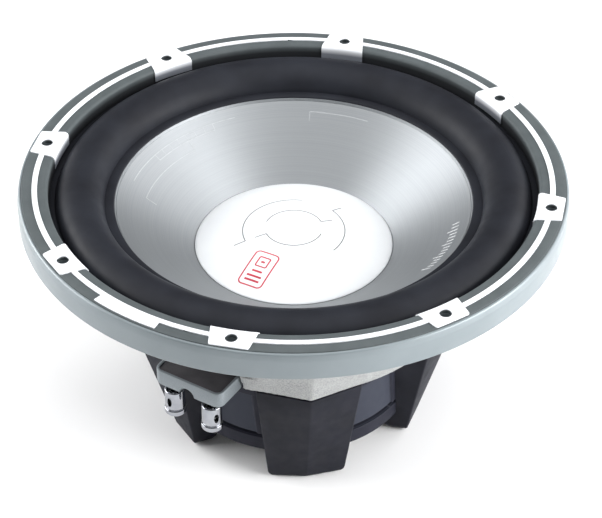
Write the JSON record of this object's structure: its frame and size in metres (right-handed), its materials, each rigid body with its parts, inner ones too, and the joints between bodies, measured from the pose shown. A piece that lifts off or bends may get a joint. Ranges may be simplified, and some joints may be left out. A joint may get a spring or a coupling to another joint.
{
  "type": "car subwoofer speaker",
  "caption": "Round car subwoofer driver with a dished silver cone, rubber roll surround, bolt-down rim, spoked basket and a footed magnet boot with push terminals.",
  "frame": {"origin": "on the driver's axis, in the plane of the feet", "axes": "+Z along the driver's axis, out of the cone; the terminals are towards -X and -Y"},
  "size_m": [0.316, 0.316, 0.1656],
  "materials": {
    "cast_aluminium": "bead-blasted casting, fine mottled grain",
    "silver_paint": "satin silver paint over a smooth casting",
    "grey_rubber": "matt grey gasket rubber",
    "white_plastic": "smooth white plastic",
    "black_rubber": "smooth satin black rubber",
    "spider_cloth": "resin-treated woven cotton",
    "zinc_steel": "zinc-plated steel",
    "ferrite": "sintered ferrite, dull black-grey",
    "copper": "copper wire and copper sleeve",
    "black_plastic": "matt black moulded plastic",
    "boot_rubber": "moulded charcoal rubber, fine texture",
    "cone_metal": "satin spun metal, turned in fine circles",
    "cap_plastic": "satin white dome",
    "brown_former": "brown heat-resistant film",
    "chrome": "polished chrome plate",
    "spring_steel": "bright spring steel",
    "silver_braid": "silver-coloured tinsel braid"
  },
  "bodies": {
    "frame": {"basket": "cast_aluminium", "trim_bezel": "silver_paint", "gasket": "grey_rubber", "inlay_ring": "white_plastic", "surround": "black_rubber", "spider": "spider_cloth", "top_plate": "zinc_steel", "magnet_rear": "ferrite", "magnet_front": "ferrite", "yoke": "zinc_steel", "shorting_ring": "copper", "vent_screen": "black_plastic", "hub_screw_1": "zinc_steel", "hub_screw_2": "zinc_steel", "hub_screw_3": "zinc_steel", "hub_screw_4": "zinc_steel", "hub_screw_5": "zinc_steel", "boot_drum": "boot_rubber", "boot_leg_1": "boot_rubber", "boot_leg_2": "boot_rubber", "boot_leg_3": "boot_rubber", "boot_leg_4": "boot_rubber", "boot_leg_5": "boot_rubber", "terminal_shell": "silver_paint", "terminal_cover": "black_plastic", "terminal_screw_1": "zinc_steel", "terminal_screw_2": "zinc_steel", "post_stem_1": "chrome", "post_stem_2": "chrome", "post_spring_1": "spring_steel", "post_spring_2": "spring_steel", "post_nut_1": "zinc_steel", "post_nut_2": "zinc_steel", "solder_lug_1": "zinc_steel", "solder_lug_2": "zinc_steel", "tinsel_lead_1": "silver_braid", "tinsel_lead_2": "silver_braid"},
    "cone_assembly": {"cone": "cone_metal", "dust_cap": "cap_plastic", "coil_former": "brown_former", "voice_coil": "copper"},
    "post_button_1": {"post_sleeve_1": "chrome"},
    "post_button_2": {"post_sleeve_2": "chrome"}
  },
  "joints": [
    {"name": "cone_travel", "type": "slide", "parent": "frame", "child": "cone_assembly", "axis": [0, 0, 1], "range_m": [-0.012, 0.012], "stiffness_N_per_m": 5200, "deforming": ["surround", "spider", "tinsel_lead_1", "tinsel_lead_2"]},
    {"name": "post_push_1", "type": "slide", "parent": "frame", "child": "post_button_1", "axis": [0, 0, 1], "range_m": [0, 0.003], "stiffness_N_per_m": 1500, "springref_m": -0.002, "deforming": ["post_spring_1"]},
    {"name": "post_push_2", "type": "slide", "parent": "frame", "child": "post_button_2", "axis": [0, 0, 1], "range_m": [0, 0.003], "stiffness_N_per_m": 1500, "springref_m": -0.002, "deforming": ["post_spring_2"]}
  ]
}
